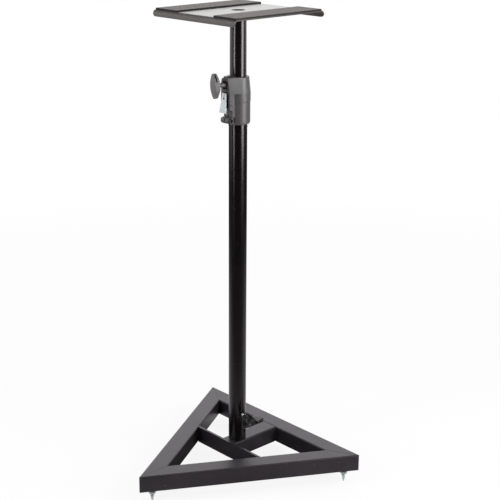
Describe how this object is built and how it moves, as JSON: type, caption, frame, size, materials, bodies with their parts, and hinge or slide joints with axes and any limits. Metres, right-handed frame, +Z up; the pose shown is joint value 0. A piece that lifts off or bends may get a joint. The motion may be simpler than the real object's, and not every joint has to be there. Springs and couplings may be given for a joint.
{
  "type": "studio speaker stand",
  "caption": "Height-adjustable speaker stand: welded triangular tube base on spikes, telescoping pole with screw clutch and spring latch, square platform with rubber pads.",
  "frame": {"origin": "on the floor plane touched by the spike tips, on the pole's axis, which is also the base triangle's centroid", "axes": "+Z up along the pole; the back rail runs along X on the +Y side, the base's apex and the clutch's hand screw point to -Y"},
  "size_m": [0.4528, 0.393, 0.9555],
  "materials": {
    "frame_paint": "satin black powder coat",
    "pole_paint": "semi-gloss black powder coat",
    "clutch_plastic": "fine-textured black moulding",
    "wing_plastic": "satin black moulding",
    "zinc": "bright zinc plate",
    "black_steel": "black oxide",
    "spring_steel": "spring wire",
    "guide_plastic": "pale acetal",
    "pad_rubber": "dense foam rubber sheet",
    "brass": "turned brass",
    "aluminium": "cast, as machined"
  },
  "bodies": {
    "base": {"base_rail_back": "frame_paint", "base_rail_left": "frame_paint", "base_rail_right": "frame_paint", "base_crossbar": "frame_paint", "base_stem_tube": "frame_paint", "base_stub": "frame_paint", "spike_weld_nuts": "black_steel", "spike_jam_nuts": "black_steel", "pole": "pole_paint", "pole_liner": "guide_plastic", "liner_rivets": "black_steel", "foot_weld_nut": "pole_paint", "clutch_body": "clutch_plastic", "clutch_bush": "guide_plastic", "clutch_insert": "brass", "clutch_pressure_pad": "guide_plastic", "clamp_screw": "black_steel", "clamp_nut": "zinc", "latch_pivot_pin": "zinc", "latch_spring": "spring_steel"},
    "spike_apex": {"spike_apex": "black_steel"},
    "spike_left": {"spike_left": "black_steel"},
    "spike_right": {"spike_right": "black_steel"},
    "foot_stud": {"foot_bolt_stud": "zinc"},
    "foot_wing": {"foot_bolt_wing": "wing_plastic"},
    "clutch_stud": {"clutch_stud": "zinc"},
    "clutch_wing": {"clutch_wing": "wing_plastic"},
    "latch_lever": {"latch_lever": "zinc"},
    "latch_pin": {"latch_pin": "zinc"},
    "mast_guide": {"mast_guide": "guide_plastic"},
    "mast": {"mast": "pole_paint", "mast_top_plug": "wing_plastic", "platform_hub": "aluminium", "platform_plate": "pole_paint", "platform_bolt": "black_steel", "platform_washer": "zinc", "platform_pad_left": "pad_rubber", "platform_pad_right": "pad_rubber"}
  },
  "joints": [
    {"name": "mast_slide", "type": "slide", "parent": "base", "child": "mast_guide", "axis": [0, 0, 1], "range_m": [0, 0.4445]},
    {"name": "mast_turn", "type": "hinge", "parent": "mast_guide", "child": "mast", "pos_m": [0, 0, 0.8065], "axis": [0, 0, 1], "range_deg": [-180, 180]},
    {"name": "latch_swing", "type": "hinge", "parent": "base", "child": "latch_lever", "pos_m": [0, -0.0295, 0.7755], "axis": [1, 0, 0], "range_deg": [-12.5, 6], "stiffness_Nm_per_rad": 0.05, "deforming": ["latch_spring"]},
    {"name": "latch_pin_slide", "type": "slide", "parent": "base", "child": "latch_pin", "axis": [0, -1, 0], "range_m": [-0.0029, 0.0014]},
    {"name": "clutch_stud_slide", "type": "slide", "parent": "base", "child": "clutch_stud", "axis": [0, -1, 0], "range_m": [-0.0002, 0.0024]},
    {"name": "clutch_wing_turn", "type": "hinge", "parent": "clutch_stud", "child": "clutch_wing", "pos_m": [0, -0.0525, 0.815], "axis": [0, -1, 0], "range_deg": [0, 720]},
    {"name": "foot_stud_slide", "type": "slide", "parent": "base", "child": "foot_stud", "axis": [0.9703, -0.2419, 0], "range_m": [-0.0002, 0.0024]},
    {"name": "foot_wing_turn", "type": "hinge", "parent": "foot_stud", "child": "foot_wing", "pos_m": [0.03687, -0.00919, 0.125], "axis": [0.9703, -0.2419, 0], "range_deg": [0, 720]},
    {"name": "spike_apex_adjust", "type": "slide", "parent": "base", "child": "spike_apex", "axis": [0, 0, 1], "range_m": [-0.006, 0.008]},
    {"name": "spike_left_adjust", "type": "slide", "parent": "base", "child": "spike_left", "axis": [0, 0, 1], "range_m": [-0.006, 0.008]},
    {"name": "spike_right_adjust", "type": "slide", "parent": "base", "child": "spike_right", "axis": [0, 0, 1], "range_m": [-0.006, 0.008]}
  ],
  "couplings": [
    {"joint": "latch_pin_slide", "follows": "latch_swing", "m_per_rad": 0.013},
    {"joint": "clutch_stud_slide", "follows": "clutch_wing_turn", "m_per_rad": 0.000159},
    {"joint": "foot_stud_slide", "follows": "foot_wing_turn", "m_per_rad": 0.000159}
  ]
}
